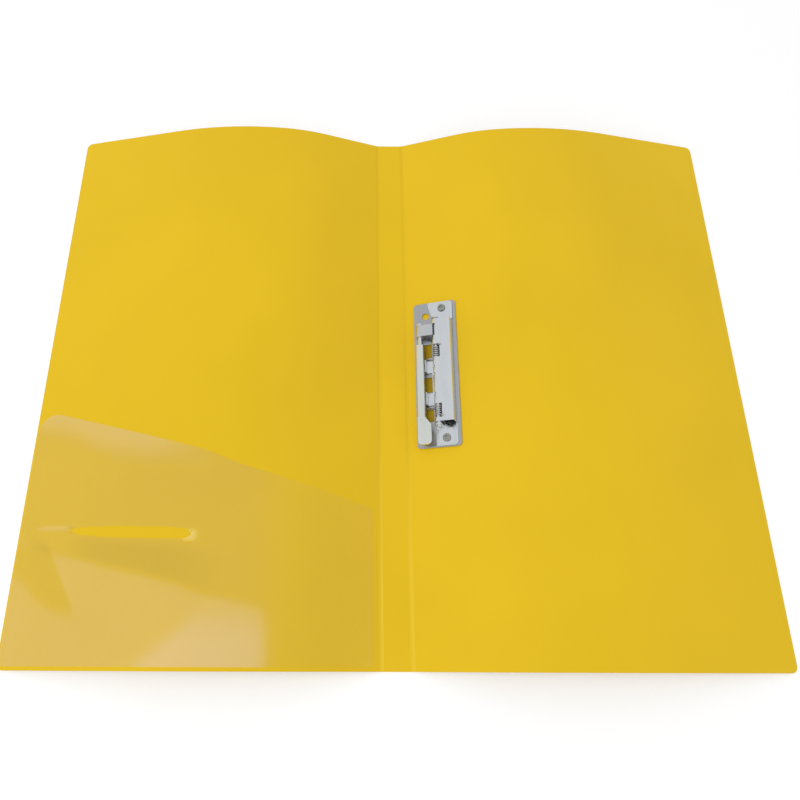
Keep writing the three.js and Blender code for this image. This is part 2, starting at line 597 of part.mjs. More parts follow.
// Torsion spring's wire: a leg on the base plate, the coil round the jaw pin, and a leg over the jaw
function springLine(steps) {
  const points = [];
  const add = (x, y, z) => points.push(new THREE.Vector3(x, y, z));
  const seat = PLATE_TOP + SEAT + WIRE / 2 - PIN_HEIGHT;
  add(-FOOT_END, 0, seat);
  add(-FOOT_BEND, 0, seat);
  add(-FOOT_RISE, 0, -SPRING_RADIUS);
  add(-FOOT_ROOT, 0, -SPRING_RADIUS);
  const count = Math.round((TURNS + 0.25) * steps);
  for (let i = 0; i <= count; i += 1) {
    const angle = -Math.PI / 2 + (2 * Math.PI * i) / steps;
    add(SPRING_RADIUS * Math.cos(angle), (PITCH * i) / steps, SPRING_RADIUS * Math.sin(angle));
  }
  const endY = (PITCH * count) / steps + LEG_OFFSET;
  const over = JAW_KNUCKLE_RADIUS + JAW_STEP + SEAT + WIRE / 2;
  add(SPRING_RADIUS, endY, over - LEG_BEND);
  add(SPRING_RADIUS + LEG_BEND_MIDDLE, endY, over - LEG_BEND_MIDDLE);
  add(SPRING_RADIUS + LEG_BEND, endY, over);
  add(SPRING_RADIUS + LEG_REACH, endY, over);
  return points;
}

// One closed tube along a line of points
function tube(line, radius, sides) {
  const positions = [];
  const index = [];
  let normal = new THREE.Vector3(0, 0, 1);
  line.forEach((point, i) => {
    const before = line[Math.max(0, i - 1)];
    const after = line[Math.min(line.length - 1, i + 1)];
    const tangent = after.clone().sub(before).normalize();
    normal = normal.clone().addScaledVector(tangent, -normal.dot(tangent)).normalize();
    const binormal = tangent.clone().cross(normal);
    for (let k = 0; k < sides; k += 1) {
      const angle = (2 * Math.PI * k) / sides;
      const spot = point.clone().addScaledVector(normal, radius * Math.cos(angle));
      spot.addScaledVector(binormal, radius * Math.sin(angle));
      positions.push(spot.x, spot.y, spot.z);
    }
  });
  for (let i = 0; i < line.length - 1; i += 1) {
    for (let k = 0; k < sides; k += 1) {
      const a = i * sides + k;
      const b = i * sides + ((k + 1) % sides);
      index.push(a, b, b + sides, a, b + sides, a + sides);
    }
  }
  const last = (line.length - 1) * sides;
  for (let k = 1; k < sides - 1; k += 1) {
    index.push(0, k + 1, k, last, last + k, last + k + 1);
  }
  const geometry = new THREE.BufferGeometry();
  geometry.setAttribute('position', new THREE.Float32BufferAttribute(positions, 3));
  geometry.setIndex(index);
  return geometry;
}

// Least gap between the wire's surface and itself, on points more than a wire's width and a half turn apart
function leastGap(line) {
  let gap = Infinity;
  for (let i = 0; i < line.length; i += 1) {
    let length = 0;
    for (let j = i + 1; j < line.length; j += 1) {
      length += line[j].distanceTo(line[j - 1]);
      if (length > Math.PI * SPRING_RADIUS) gap = Math.min(gap, line[i].distanceTo(line[j]) - WIRE);
    }
  }
  return gap;
}

function spring({ start, direction }) {
  const line = springLine(8).map((point) => new THREE.Vector3(
    JAW_PIN_FROM_LEFT + point.x, start + direction * point.y, PIN_HEIGHT + point.z));
  return tube(line, WIRE / 2, 5);
}

// Rivet through bracket, base plate and cover: a blind bore in its upper end, and a flange over both faces
function rivet() {
  const shank = RIVET_BORE + RIVET_WALL;
  const top = PLATE_TOP + SEAT + STEEL + PAD_HEIGHT + SEAT;
  const bottom = -SHEET - SEAT;
  const t = RIVET_FLANGE_THICKNESS;
  const profile = [
    [RIVET_BORE, bottom - t], [RIVET_FLANGE - t / 2, bottom - t], [RIVET_FLANGE, bottom - t / 2],
    [RIVET_FLANGE, bottom], [shank, bottom], [shank, top], [RIVET_FLANGE, top],
    [RIVET_FLANGE, top + t / 2], [RIVET_FLANGE - t / 2, top + t], [RIVET_BORE, top + t],
    [RIVET_BORE, bottom - t],
  ].map(([r, z]) => new THREE.Vector2(r, z));
  const geometry = new THREE.LatheGeometry(profile, 20);
  geometry.rotateX(Math.PI / 2);
  const core = raised(disc(0, 0, RIVET_BORE + RIVET_WALL / 2), bottom - t, top + t - RIVET_BORE_DEPTH);
  return geometryOf(join(solid(geometry), core));
}

// Scene graph: each cover hangs in the turned frame of its flat strip, the clip in the back cover's
function mesh(name, geometry, look) {
  const piece = new THREE.Mesh(geometry, new THREE.MeshStandardMaterial(look));
  piece.name = name;
  return piece;
}

function mirrored(body) {
  const geometry = geometryOf(body);
  geometry.scale(-1, 1, 1);
  const index = geometry.index.array;
  for (let i = 0; i < index.length; i += 3) [index[i], index[i + 1]] = [index[i + 1], index[i]];
  return geometry;
}

function clip() {
  const group = new THREE.Group();
  group.position.set(CLIP_FROM_CREASE, CLIP_SHIFT, 0);
  group.add(
    mesh('base_plate', geometryOf(basePlate()), PLATED),
    mesh('lever', geometryOf(lever()), PLATED),
    mesh('lever_pin', geometryOf(leverPin()), PLATED),
    mesh('push_plate', geometryOf(pushPlate()), PLATED),
    mesh('jaw_plate', geometryOf(jawPlate()), PLATED),
    mesh('jaw_pin', geometryOf(jawPin()), PLATED),
    mesh('upper_bracket', geometryOf(bracket(1)), PLATED),
    mesh('lower_bracket', geometryOf(bracket(-1)), PLATED),
    mesh('upper_spring', spring(SPRINGS[0]), SPRING_STEEL),
    mesh('lower_spring', spring(SPRINGS[1]), SPRING_STEEL),
  );
  RIVETS.forEach(({ x, y }) => {
    const piece = mesh(y > 0 ? 'upper_rivet' : 'lower_rivet', rivet(), PLATED);
    piece.position.set(x, y, 0);
    group.add(piece);
  });
  return group;
}

const folder = new THREE.Group();
folder.add(mesh('spine_panel', geometryOf(spinePanel()), YELLOW));

const backStrip = new THREE.Group();
backStrip.position.set(SPINE_WIDTH / 2, 0, SHEET);
backStrip.rotation.y = -STRIP_ANGLE;
backStrip.add(mesh('back_cover', geometryOf(backCover()), YELLOW), clip());
folder.add(backStrip);

const frontStrip = new THREE.Group();
frontStrip.position.set(-SPINE_WIDTH / 2, 0, SHEET);
frontStrip.rotation.y = STRIP_ANGLE;
frontStrip.add(
  mesh('front_cover', mirrored(coverSheet()), YELLOW),
  mesh('pocket_film', mirrored(pocketFilm()), FILM_LOOK),
);
folder.add(frontStrip);

console.log(`Least gap of each spring's wire to itself: ${leastGap(springLine(40)).toFixed(3)} mm`);
console.log(`Strip angle ${THREE.MathUtils.radToDeg(STRIP_ANGLE).toFixed(3)} degrees`);
console.log(`Pin height ${PIN_HEIGHT.toFixed(3)}, push stroke ${PUSH_STROKE.toFixed(4)} mm`);

export default folder;
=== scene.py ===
"""Clip file folder lying open: yellow plastic covers, a clear slanted pocket and a plated lever clip.

Laid out as an add-on and run as a script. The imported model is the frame: it gives the bodies, and every
piece here stands where its node stands. Metres, +Z up, spine along Y, front cover towards -X.
"""

import bpy
import bmesh
import json
import math
from mathutils import Matrix, Vector
from bpy.props import FloatProperty, FloatVectorProperty, PointerProperty

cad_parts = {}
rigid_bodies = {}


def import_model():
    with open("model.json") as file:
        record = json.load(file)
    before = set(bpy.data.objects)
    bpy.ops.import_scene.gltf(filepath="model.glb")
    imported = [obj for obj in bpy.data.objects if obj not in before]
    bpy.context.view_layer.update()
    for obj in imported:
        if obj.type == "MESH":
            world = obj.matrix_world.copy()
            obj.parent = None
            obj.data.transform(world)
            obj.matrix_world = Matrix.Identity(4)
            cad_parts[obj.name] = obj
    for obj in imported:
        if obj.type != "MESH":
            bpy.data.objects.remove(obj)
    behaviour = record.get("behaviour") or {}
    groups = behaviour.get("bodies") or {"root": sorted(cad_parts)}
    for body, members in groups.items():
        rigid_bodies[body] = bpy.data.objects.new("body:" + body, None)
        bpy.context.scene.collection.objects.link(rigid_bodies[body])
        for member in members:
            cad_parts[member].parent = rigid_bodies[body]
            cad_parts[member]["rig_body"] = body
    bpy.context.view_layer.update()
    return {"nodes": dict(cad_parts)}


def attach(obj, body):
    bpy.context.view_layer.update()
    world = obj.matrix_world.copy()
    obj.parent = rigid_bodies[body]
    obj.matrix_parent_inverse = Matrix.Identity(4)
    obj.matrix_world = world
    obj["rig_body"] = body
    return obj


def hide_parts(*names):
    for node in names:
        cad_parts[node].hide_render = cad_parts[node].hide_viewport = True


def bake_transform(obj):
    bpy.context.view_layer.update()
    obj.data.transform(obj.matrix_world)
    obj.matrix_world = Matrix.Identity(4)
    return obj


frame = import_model()

bl_info = {
    "name": "Clip file folder",
    "version": (1, 0, 0),
    "blender": (4, 5, 0),
    "location": "3D View > Sidebar > Folder",
    "description": "Builds the looks of an open file folder with a lever clip and a clear pocket",
    "category": "Object",
}

# Mesh steps, the rim of thin sheets, and tolerances, in metres
STEP_ACROSS = 0.0025
STEP_ALONG = 0.02
STEP_FILM = 0.0030
THIN_RIM = 0.00002
ON_PLANE = 1e-7
SAME_PLACE = 1e-6

# Steps in a rounded corner of the sheet and of the film, and in half a creased web
SHEET_CORNER_STEPS = 10
FILM_CORNER_STEPS = 6
WEB_STEPS = 6

# Angles in degrees over which an edge is softened, and under which two faces are joined
SHEET_EDGE = 50
METAL_EDGE = 40
JOINED_EDGE = 1

# A web's thickness as a share of the sheet's; the height of the film's face over its gap and the film's
# depth, as shares of its thickness; and the slit's width at its ends, as a share of its full width
WEB_SHARE = 0.45
FILM_FACE = 0.95
FILM_DEPTH = 0.6
SLIT_END = 0.1

# Painted reflection: values at which the film looks shaded, taut, slack and glaring, and its opacity at each
REFLECTION_STOPS = (0.0, 0.25, 0.62, 1.0)
REFLECTION_ALPHAS = (0.060, 0.040, 0.072, 0.118)

# Cloudiness of the painted reflection, the share of the painted glare that the slack film gives back,
# and the share of its opacity that the painted reflection keeps beside the spine
REFLECTION_CLOUD = 0.10
SLACK_SHARE = 0.8
SPINE_SHARE = 0.45

# Depth of the painted bright band of reflection under the mouth and its weight in the painted reflection
MOUTH_BAND = 0.018
MOUTH_WEIGHT = 0.44

# Opacity of the painted highlights at the weld and at the slit's end, and where the end's colour sets in
WELD_HIGHLIGHT_ALPHA = 0.008
TIP_HIGHLIGHT_ALPHA = 0.30
TIP_HIGHLIGHT_START = 0.1

# Marks of painted reflection, shade and highlight on the film: a weight in the painted reflection, and soft
# straight edges whose product is the mark. An edge has its direction in the plan and the distances along it,
# in metres from the origin, between which it goes from 0 to 1. One that falls goes from 1 to 0, and one that
# wavers meanders a little.
FILM_LIGHT_MARKS = {
    "slack": (0.32, (
        ((-0.26, -1), 0.1675, 0.1755, "wavers"),
        ((-1, 0), 0.066, 0.080, "wavers"))),
    "fold shade": (-0.36, (
        ((0.581, 0.814), -0.2430, -0.2355, "wavers"),
        ((0.823, 0.568), -0.2405, -0.2375, "wavers", "falls"),
        ((0, -1), 0.110, 0.120),
        ((0, -1), 0.148, 0.160, "falls"))),
    "glare": (0.38, (
        ((0.74, -0.67), 0.0120, 0.0240, "wavers"),
        ((-1, 0), 0.068, 0.078, "wavers"),
        ((0, -1), 0.140, 0.172, "wavers"))),
    "shade": (-0.20, (
        ((-0.26, -1), 0.1740, 0.1680, "wavers"),
        ((-0.12, -1), 0.128, 0.138),
        ((-1, 0), 0.085, 0.130),
        ((-1, 0), 0.175, 0.200, "falls"))),
    "streak highlight": (0.35, (
        ((0, 1), -0.1085, -0.1060),
        ((0, 1), -0.1050, -0.1030, "falls"),
        ((-1, 0), 0.194, 0.198),
        ((-1, 0), 0.212, 0.220, "falls"))),
    "outer weld": (0.08, (
        ((-1, 0), 0.2195, 0.2205),
        ((-1, 0), 0.2210, 0.2220, "falls"))),
    "weld highlight": (0.25, (
        ((1, 0), -0.0166, -0.0158),
        ((1, 0), -0.0158, -0.0150, "falls"))),
}
# Edges of the painted highlight at the slit's end towards the spine
TIP_HIGHLIGHT_EDGES = (
    ((1, 0), -0.1245, -0.1225),
    ((1, 0), -0.1195, -0.1145, "falls"),
    ((0, 1), -0.1160, -0.1125),
    ((0, 1), -0.1105, -0.1075, "falls"))


def length(name, default, description):
    """A length setting, in metres."""
    return FloatProperty(
        name=name, description=description, default=default, min=0, unit="LENGTH", precision=5)


def colour(name, default, description):
    """A linear colour setting."""
    return FloatVectorProperty(
        name=name, description=description, default=default, size=3, min=0, max=1, subtype="COLOR_GAMMA")


def angle(name, default, description):
    """An angle setting, in radians."""
    return FloatProperty(name=name, description=description, default=math.radians(default), subtype="ANGLE")


def ratio(name, default, description):
    """A plain factor."""
    return FloatProperty(name=name, description=description, default=default)


def position(name, default, description):
    """A place in the scene, in metres."""
    return FloatVectorProperty(
        name=name, description=description, default=default, size=3, subtype="TRANSLATION", unit="LENGTH")


class SheetSettings(bpy.types.PropertyGroup):
    """Sizes and colour of the creased plastic sheet."""

    cover_length: length("Length", 0.370, "Length of the spine and of both covers")
    cover_width: length("Cover width", 0.224, "Width of a cover along its bow, from crease to free edge")
    spine_width: length("Spine width", 0.018, "Distance between the two creases")
    thickness: length("Thickness", 0.0008, "Thickness of the sheet")
    corner: length("Corner radius", 0.004, "Rounding of the outer corners")
    strip: length("Flat strip", 0.040, "Flat part of a cover beside its crease")
    bow_1: length("First arc", 0.030, "Length of the tighter arc")
    bow_1_turn: angle("First turn", 12.0, "Turn of the tighter arc")
    bow_2: length("Second arc", 0.080, "Length of the wider arc")
    bow_2_turn: angle("Second turn", 18.5, "Turn of the wider arc")
    groove: length("Crease groove", 0.0011, "Half width of the pressed groove at a crease")
    tint: colour("Sheet colour", (0.893, 0.738, 0.085), "Colour of the plastic sheet")
    # The crease colour is a painted highlight, paler towards the bottom edge
    crease_highlight_tint: colour("Crease colour", (0.908, 0.764, 0.16), "Colour of the creases near the bottom edge")
    crease_depth: length("Crease depth", 0.00005, "Depth of the pressed groove at a crease")
    rim: length("Rim rounding", 0.00018, "Rounding of the sheet's edges")


class PocketSettings(bpy.types.PropertyGroup):
    """Sizes of the clear pocket, measured along the front cover, and the painted light on its film."""

    crease_margin: length("Crease margin", 0.005, "From the crease to the film")
    outer_margin: length("Outer margin", 0.0012, "From the free edge to the film")
    bottom_margin: length("Bottom margin", 0.0022, "From the bottom edge to the film")
    height_spine: length("Height at the spine", 0.093, "Mouth height beside the crease, from the bottom edge")
    height_edge: length("Height at the edge", 0.153, "Mouth height at the free edge, from the bottom edge")
    corner: length("Corner", 0.003, "Rounding of the film's bottom corners")
    mouth_corner: length("Mouth's corner", 0.016, "Rounding of the film's outer top corner")
    mouth_rise: length("Mouth's rise", 0.003, "How far the slack mouth stands over its straight line")
    mouth_from: length("Mouth's start", 0.080, "From the crease to where the mouth starts to rise")
    mouth_reach: length("Mouth's reach", 0.035, "Length over which the mouth's rise grows")
    lift: length("Lift", 0.0003, "Gap between the cover and the film")
    film: length("Film", 0.0003, "Thickness of the film")
    slit_length: length("Slit length", 0.076, "Length of the card slit")
    slit_width: length("Slit width", 0.007, "Width of the card slit where it gapes most")
    slit_from_edge: length("Slit from the edge", 0.035, "From the free edge to the slit's outer end")
    slit_height: length("Slit height", 0.0757, "From the bottom edge to the slit")
    slant: length("Slit's slant", 0.0019, "How far the slit's outer end stands over its middle")
    slant_reach: length("Slant's reach", 0.024, "How far the film round the slit follows its slant")
    # These colours are painted light on the film: reflection, glare, shade under the slit, and a highlight
    painted_reflection: colour("Veil", (0.33, 0.35, 0.51), "Light that the taut film gives back")
    glare: colour("Glare", (0.915, 0.895, 0.967), "Light that the slack film gives back")
    shadow: colour("Shade", (0.10, 0.14, 0.33), "Look of the film beneath the slit")
    tip_highlight: colour("Tip", (1.0, 0.90, 0.32), "Light at the slit's end towards the spine")
    blunt: ratio("Bluntness", 4.0, "How blunt the slit's end towards the spine is")
    waver: length("Waver", 0.006, "How far the edges of the film's marks meander")


class ClipSettings(bpy.types.PropertyGroup):
    """Finish of the lever clip, with its painted shade, highlight and reflection."""

    edge: length("Edge rounding", 0.00012, "Rounding of the stamped edges")
    plating: colour("Plating colour", (0.925, 0.945, 0.965), "Colour of the bright plating")
    # The lever's lighter, warmer colour is a painted reflection of the sky on the plating
    lever: colour("Lever colour", (0.95, 0.965, 0.94), "Colour of the lever's plating")
    # The base plate's colour is the plating darkened as painted shade
    base: colour("Base plate colour", (0.76, 0.77, 0.78), "Colour of the base plate's duller plating")
    rivet: colour("Rivet colour", (0.69, 0.70, 0.67), "Colour of the rivets")
    wire: colour("Wire colour", (0.85, 0.86, 0.88), "Colour of the spring wire")
    wire_width: length("Wire", 0.0009, "Thickness of the spring wire")
    # Painted shade in the jaw's hollow and on the base plate under it, in the box set below
    inside: ratio("Inside", 0.16, "Share of its light that the jaw's inside keeps")
    slot_high: length("Slot's upper end", 0.0315, "From the clip's middle to the panel slot's upper end")
    crease: length("From the crease", 0.0064, "From the crease to the clip's left edge")
    hollow_left: length("Hollow's left side", 0.01862, "From the clip's left edge to the jaw's hollow")
    hollow_right: length("Hollow's right side", 0.0252, "From the clip's left edge to the hollow's far side")
    hollow_top: length("Hollow's top", 0.0072, "From the cover to the underside of the jaw's panel")
    hollow_low: length("Hollow's lower end", 0.0374, "From the clip's middle to the lower bracket")
    hollow_high: length("Hollow's upper end", 0.0250, "From the clip's middle to the jaw's bright inside")
    # The strap is brightened with a painted highlight, in the box set below
    strap: ratio("Strap", 1.36, "How much brighter the strap is than the base plate")
    strap_right: length("Strap's right side", 0.0137, "From the clip's left edge to the strap's far side")
    strap_foot: length("Strap's foot", 0.0025, "From the cover to where the strap turns bright")
    strap_top: length("Strap's top", 0.0090, "From the cover to just over the strap")
    strap_low: length("Strap's lower end", 0.0240, "From the clip's middle to the strap's lower end")
    strap_high: length("Strap's upper end", 0.0322, "From the clip's middle to the strap's upper end")
    # The sheet in the plate's windows is darkened with painted shade, in the box set below
    windows_left: length("Windows' left side", 0.0045, "From the clip's left edge to the plate's windows")
    windows_right: length("Windows' right side", 0.0135, "From the clip's left edge to the windows' far side")
    windows_low: length("Windows' lower end", 0.036, "From the clip's middle to the lowest window's end")
    windows_high: length("Windows' upper end", 0.022, "From the clip's middle to the highest window's end")
    windows_soft: length("Windows' softness", 0.0008, "Width of the shade's soft rim in the windows")
    shaded: ratio("Shaded", 0.52, "Share of its light that the sheet in the windows keeps")
    shift: FloatProperty(
        name="Shift", description="Place of the clip's middle along the spine", default=-0.0035,
        unit="LENGTH")


class StageSettings(bpy.types.PropertyGroup):
    """Floor, light and camera."""

    focal: FloatProperty(name="Focal length", description="Lens of the camera", default=31.86, unit="CAMERA")
    tilt: angle("Tilt", 68.532, "Camera's angle below the horizon")
    yaw: angle("Yaw", 0.448, "Camera's turn to the right")
    roll: angle("Roll", 0.687, "Camera's roll")
    camera_place: position("Camera's place", (-0.0243, -0.1819, 0.4336), "Where the camera stands")
    shift_x: ratio("Shift to the side", 0.0524, "Sideways shift of the camera's picture")
    shift_y: ratio("Shift upwards", -0.0156, "Upward shift of the camera's picture")
    key: FloatProperty(
        name="Key light", description="Power of the large soft lamp", default=46.0, unit="POWER")
    key_size: length("Key light's size", 1.8, "Side of the large soft lamp")
    key_place: position("Key light's place", (-1.5, -0.5, 3.0), "Where the large soft lamp hangs")
    sky: ratio("Sky light", 0.675, "Strength of the even light from all sides")
    floor: colour("Floor colour", (0.92, 0.92, 0.92), "Colour of the floor")
    floor_size: length("Floor", 4.0, "From the floor's middle to its sides")
    floor_gap: length("Floor's gap", 0.0001, "From the folder's underside to the floor")
    lift: ratio("Lift", 0.12, "Light added to the floor for the camera alone")


# Bow of a cover


def bow(sheet, s):
    """Point (x, z) and slope of a cover's inner face at distance s from the crease, in its strip's frame."""
    x, z, slope = min(s, sheet.strip), 0.0, 0.0
    rest = s - sheet.strip
    for run, turn in ((sheet.bow_1, sheet.bow_1_turn), (sheet.bow_2, sheet.bow_2_turn)):
        if rest <= 0:
            return x, z, slope
        part = min(rest, run)
        after = slope - turn * part / run
        radius = run / turn
        x += radius * (math.sin(slope) - math.sin(after))
        z -= radius * (math.cos(slope) - math.cos(after))
        slope = after
        rest -= run
    if rest > 0:
        x += rest * math.cos(slope)
        z += rest * math.sin(slope)
    return x, z, slope


def strip_angle(sheet):
    """Angle of the flat strip that lays the free edge's underside on the table."""
    x, z, slope = bow(sheet, sheet.cover_width)
    x += sheet.thickness * math.sin(slope)
    z -= sheet.thickness * math.cos(slope)
    return -math.atan2(z, x) - math.asin(sheet.thickness / math.hypot(x, z))


def on_cover(sheet, side, s, y, height):
    """Row-frame point at distance s from the crease, at y, and at that height over the inner face."""
    x, z, slope = bow(sheet, s)
    x -= height * math.sin(slope)
    z += height * math.cos(slope)
    turn = strip_angle(sheet)
    across = x * math.cos(turn) - z * math.sin(turn)
    up = x * math.sin(turn) + z * math.cos(turn)
    return Vector((side * (sheet.spine_width / 2 + across), y, sheet.thickness + up))


# Meshes


def finish_piece(bm, name, material, body, *nodes):
    """Turns a bmesh into a smooth piece that rides on a body and stands for these nodes."""
    mesh = bpy.data.meshes.new(name)
    bm.to_mesh(mesh)
    bm.free()
    mesh.shade_smooth()
    piece = bpy.data.objects.new(name, mesh)
    bpy.context.scene.collection.objects.link(piece)
    mesh.materials.append(material)
    if body:
        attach(piece, body)
    if nodes:
        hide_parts(*nodes)
    return piece


def cut_across(bm, axis, places):
    """Cuts the whole bmesh with planes across an axis."""
    normal = Vector((0, 0, 0))
    normal[axis] = 1
    for place in places:
        point = Vector((0, 0, 0))
        point[axis] = place
        everything = bm.verts[:] + bm.edges[:] + bm.faces[:]
        bmesh.ops.bisect_plane(bm, geom=everything, dist=ON_PLANE, plane_co=point, plane_no=normal)


def spread(low, high, step):
    """Places between low and high, about a step apart."""
    count = max(1, round((high - low) / step))
    return [low + (high - low) * i / count for i in range(1, count)]


def flat_outline(corners):
    """A flat face with these corners, as its bmesh and its points."""
    bm = bmesh.new()
    verts = [bm.verts.new((x, y, 0)) for x, y in corners]
    bm.faces.new(verts)
    return bm, verts


def round_corners(bm, verts, radius, steps):
    """Rounds a flat face at these points."""
    bmesh.ops.bevel(
        bm, geom=verts, offset=radius, offset_type="OFFSET", segments=steps, profile=0.5,
        affect="VERTICES", material=-1)


def flat_panel(low_x, high_x, half_y, corner):
    """A flat rectangle with its two corners at high_x rounded."""
    bm, verts = flat_outline([(low_x, -half_y), (high_x, -half_y), (high_x, half_y), (low_x, half_y)])
    if corner:
        round_corners(bm, verts[1:3], corner, SHEET_CORNER_STEPS)
    return bm


def cut_along(bm, sheet):
    """Cuts a bmesh into steps along the spine."""
    cut_across(bm, 1, spread(-sheet.cover_length / 2, sheet.cover_length / 2, STEP_ALONG))


def bend_over_cover(bm, sheet, side, height=0.0):
    """Lays a flat developed bmesh at a height over a cover's inner face."""
    for vert in bm.verts:
        s, y, _ = vert.co
        vert.co = on_cover(sheet, side, s, y, height)
    if side < 0:
        bmesh.ops.reverse_faces(bm, faces=bm.faces[:])


def soften_edges(piece, name, width, degrees):
    """Rounds a piece's edges that are sharper than an angle."""
    edge = piece.modifiers.new(name, "BEVEL")
    edge.width = width
    edge.segments = 2
    edge.limit_method = "ANGLE"
    edge.angle_limit = math.radians(degrees)
    edge.harden_normals = True


def thicken(piece, depth, rim):
    """Gives a sheet its thickness below its face, with softened rims."""
    solid = piece.modifiers.new("Thickness", "SOLIDIFY")
    solid.thickness = depth
    solid.offset = -1
    solid.use_even_offset = True
    soften_edges(piece, "Rim", rim, SHEET_EDGE)


# Materials


class Nodes:
    """Short calls for a material's node tree."""

    def __init__(self, name):
        self.material = bpy.data.materials.new(name)
        self.material.use_nodes = True
        self.tree = self.material.node_tree
        self.shader = self.tree.nodes["Principled BSDF"]

    def add(self, kind, **settings):
        node = self.tree.nodes.new(kind)
        for key, value in settings.items():
            setattr(node, key, value)
        return node

    def link(self, source, target):
        self.tree.links.new(source, target)

    def coordinates(self):
        return self.add("ShaderNodeTexCoord").outputs["Object"]

    def noise(self, scale, detail, stretch=(1, 1, 1)):
        node = self.add("ShaderNodeTexNoise")
        node.inputs["Scale"].default_value = scale
        node.inputs["Detail"].default_value = detail
        place = self.add("ShaderNodeMapping")
        place.inputs["Scale"].default_value = stretch
        self.link(self.coordinates(), place.inputs["Vector"])
        self.link(place.outputs["Vector"], node.inputs["Vector"])
        return node.outputs["Fac"]

    def ramp(self, source, stops):
        node = self.add("ShaderNodeValToRGB")
        ramp = node.color_ramp
        while len(ramp.elements) < len(stops):
            ramp.elements.new(0.5)
        for element, (place, value) in zip(ramp.elements, stops):
            element.position = place
            element.color = (*value, 1) if isinstance(value, tuple) else (value, value, value, 1)
        self.link(source, node.inputs["Fac"])
        return node.outputs["Color"]

    def bump(self, source, distance, strength):
        node = self.add("ShaderNodeBump")
        node.inputs["Distance"].default_value = distance
        node.inputs["Strength"].default_value = strength
        self.link(source, node.inputs["Height"])
        return node.outputs["Normal"]

    def set(self, **values):
        for key, value in values.items():
            self.shader.inputs[key.replace("_", " ")].default_value = value

    def blend_values(self, source, from_low, from_high, low, high):
        """A value carried smoothly and clamped from one range to another."""
        node = self.add("ShaderNodeMapRange", interpolation_type="SMOOTHSTEP")
        self.link(source, node.inputs["Value"])
        ends = {"From Min": from_low, "From Max": from_high, "To Min": low, "To Max": high}
        for key, value in ends.items():
            node.inputs[key].default_value = value
        return node.outputs["Result"]

    def side(self, direction, near, far, waver=None, falling=False):
        """0 to 1 across a soft straight edge, from near to far along a direction."""
        dot = self.add("ShaderNodeVectorMath", operation="DOT_PRODUCT")
        self.link(self.coordinates(), dot.inputs[0])
        dot.inputs[1].default_value = (*direction, 0)[:3]
        place = dot.outputs["Value"]
        if waver:
            place = self.math("ADD", place, waver)
        ends = (1, 0) if falling else (0, 1)
        if far < near:
            near, far = far, near
            ends = (ends[1], ends[0])
        return self.blend_values(place, near, far, *ends)

    def product(self, edges, waver):
        """1 inside all of these soft edges and 0 outside."""
        result = None
        for direction, near, far, *ways in edges:
            edge = self.side(direction, near, far, waver if "wavers" in ways else None, "falls" in ways)
            result = self.both(result, edge) if result else edge
        return result

    def times(self, tint, factor):
        """A colour scaled by a value."""
        node = self.add("ShaderNodeVectorMath", operation="SCALE")
        self.link(tint, node.inputs[0])
        self.link(factor, node.inputs["Scale"])
        return node.outputs["Vector"]

    def math(self, operation, first, second):
        node = self.add("ShaderNodeMath", operation=operation)
        for socket, value in zip(node.inputs, (first, second)):
            if isinstance(value, (int, float)):
                socket.default_value = value
            else:
                self.link(value, socket)
        return node.outputs["Value"]

    def both(self, first, second):
        return self.math("MULTIPLY", first, second)

    def mixed(self, mask, source, tint):
        """A colour that turns to a tint where the mask is 1."""
        node = self.add("ShaderNodeMix", data_type="RGBA")
        factor, first, second = (
            [socket for socket in node.inputs if socket.name == name and socket.type == kind][0]
            for name, kind in (("Factor", "VALUE"), ("A", "RGBA"), ("B", "RGBA")))
        self.link(mask, factor)
        self.link(source, first)
        second.default_value = (*tint, 1)
        return [socket for socket in node.outputs if socket.type == "RGBA"][0]

    def total(self, parts, start):
        """A weighted sum of values."""
        result = start
        for value, weight in parts:
            result = self.math("ADD", self.math("MULTIPLY", value, weight), result)
        return result


def scaled(tint, factor):
    return tuple(min(1.0, channel * factor) for channel in tint)


def linear(tint):
    """A displayed colour as the linear colour that a shader takes."""
    return tuple(c / 12.92 if c <= 0.04045 else ((c + 0.055) / 1.055) ** 2.4 for c in tint)


def sheet_material(sheet, clip):
    """Satin yellow plastic, faintly cloudy, with fine grain and scuffs; painted shade in the clip's windows.
    """
    m = Nodes("Yellow sheet with painted window shade")
    base = linear(sheet.tint)
    cloud = m.noise(scale=9.0, detail=3.0)
    tint = m.ramp(cloud, [(0.3, scaled(base, 0.965)), (0.7, scaled(base, 1.03))])
    # Painted shade on the sheet where it shows through the clip's windows
    windows = clip_box(
        m, clip, sheet, clip.windows_left, clip.windows_right, sheet.thickness,
        -clip.windows_low, clip.windows_high, clip.windows_soft)
    m.link(with_painted_shade(m, tint, windows, clip.shaded), m.shader.inputs["Base Color"])
    scuff = m.noise(scale=60.0, detail=5.0, stretch=(1, 0.25, 1))
    m.link(m.ramp(scuff, [(0.35, 0.40), (0.7, 0.50)]), m.shader.inputs["Roughness"])
    grain = m.noise(scale=2600.0, detail=1.0)
    m.link(m.bump(grain, distance=0.00002, strength=0.5), m.shader.inputs["Normal"])
    m.set(Specular_IOR_Level=0.25)
    return m.material


def crease_painted_light_material(sheet):
    """The sheet's plastic where it is creased: painted shade makes it a little darker at the top, and a
    painted highlight paler towards the bottom edge.
    """
    m = Nodes("Creased sheet with painted light")
    top_shade, bottom_highlight = scaled(linear(sheet.tint), 0.955), linear(sheet.crease_highlight_tint)
    low = m.side((0, -1), -0.02, 0.9 * sheet.cover_length / 2)
    m.link(m.ramp(low, [(0.0, top_shade), (1.0, bottom_highlight)]), m.shader.inputs["Base Color"])
    m.set(Roughness=0.45, Specular_IOR_Level=0.25)
    return m.material


